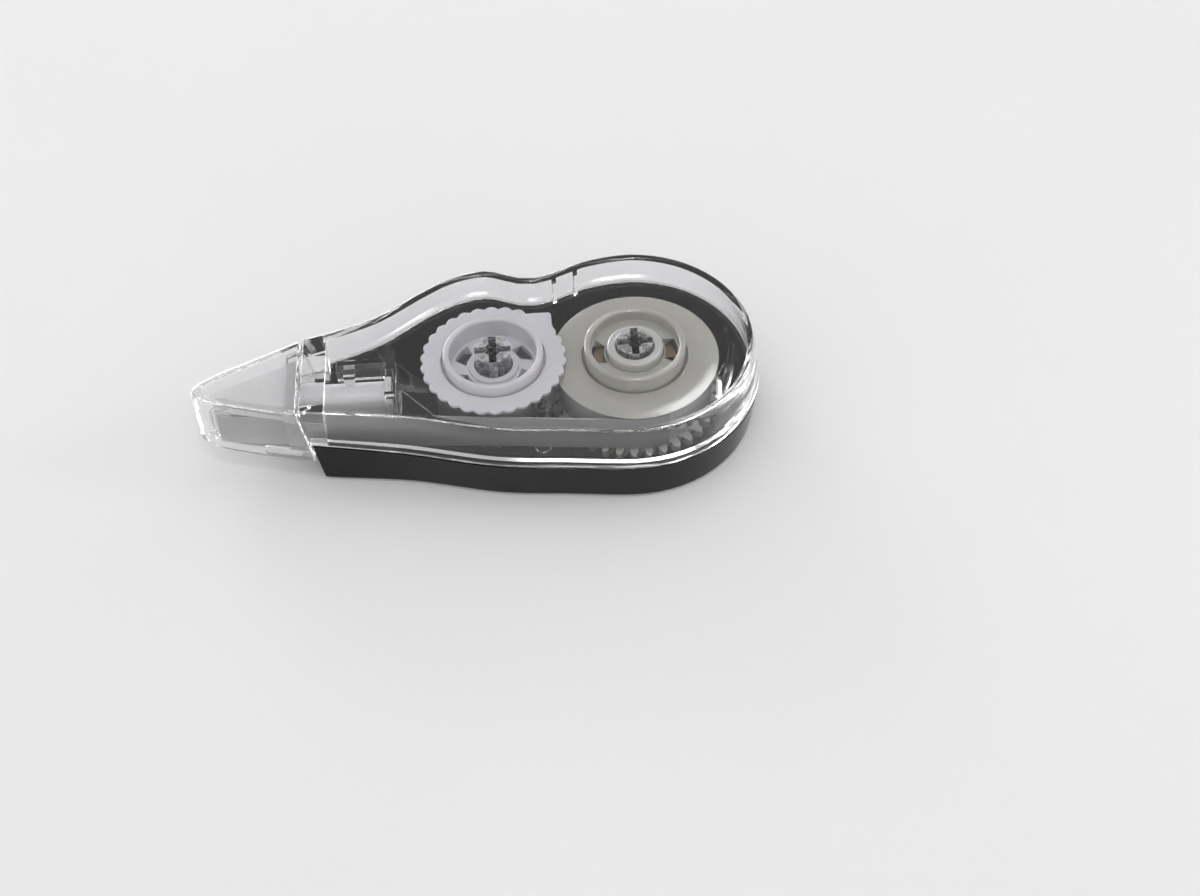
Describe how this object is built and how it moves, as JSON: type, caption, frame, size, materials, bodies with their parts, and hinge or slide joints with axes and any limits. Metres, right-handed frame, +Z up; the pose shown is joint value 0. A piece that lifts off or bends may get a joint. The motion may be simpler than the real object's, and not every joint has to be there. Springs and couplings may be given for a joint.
{
  "type": "correction tape",
  "caption": "Flat hand-held correction tape: two geared reels in a clear-topped case, with film running to an applicator tip under a pull-off cap.",
  "frame": {"origin": "on the flat underside of the case, directly below the take-up reel's axle", "axes": "+X from the applicator tip to the round tail, +Y to the far side, +Z up, away from the flat underside"},
  "size_m": [0.0739, 0.0338, 0.013],
  "materials": {
    "black_shell": "dark injection moulding, polished",
    "clear_shell": "clear styrene, polished",
    "clear_small": "clear moulding",
    "clear_cap": "clear styrene, polished, faint scratches",
    "head_white": "white moulding, satin gloss",
    "tip_clear": "soft translucent moulding",
    "coated_film": "white correction coating on film",
    "bare_liner": "thin clear liner",
    "take_up_white": "white moulding, satin gloss",
    "wound_liner": "wound layers of liner",
    "supply_cream": "translucent warm grey moulding",
    "supply_disc": "translucent warm grey moulding",
    "clutch_amber": "amber spring plastic",
    "wound_tape": "wound layers of coated tape"
  },
  "bodies": {
    "case": {"lower_case": "black_shell", "upper_case": "clear_shell", "film_guide_sleeve": "clear_small", "applicator_head": "head_white", "applicator_tip": "tip_clear", "feed_film": "coated_film", "return_film": "bare_liner"},
    "cap": {"cap": "clear_cap"},
    "supply_gear": {"supply_gear": "supply_cream", "slip_clutch": "clutch_amber"},
    "supply_spool": {"supply_spool": "supply_cream", "supply_flange": "supply_disc", "supply_roll": "wound_tape"},
    "take_up_reel": {"take_up_spool": "take_up_white", "take_up_flange": "take_up_white", "take_up_roll": "wound_liner"}
  },
  "joints": [
    {"name": "cap_slide", "type": "slide", "parent": "case", "child": "cap", "axis": [-1, 0, 0], "range_m": [0, 0.02]},
    {"name": "supply_spin", "type": "hinge", "parent": "case", "child": "supply_gear", "pos_m": [0.0186, 0, 0.0065], "axis": [0, 0, 1], "continuous": true},
    {"name": "take_up_spin", "type": "hinge", "parent": "case", "child": "take_up_reel", "pos_m": [0, 0, 0.0065], "axis": [0, 0, 1], "continuous": true},
    {"name": "slip_clutch_spin", "type": "hinge", "parent": "supply_gear", "child": "supply_spool", "pos_m": [0.0186, 0, 0.0065], "axis": [0, 0, 1], "continuous": true}
  ],
  "couplings": [
    {"joint": "take_up_spin", "follows": "supply_spin", "ratio": -1.5}
  ]
}
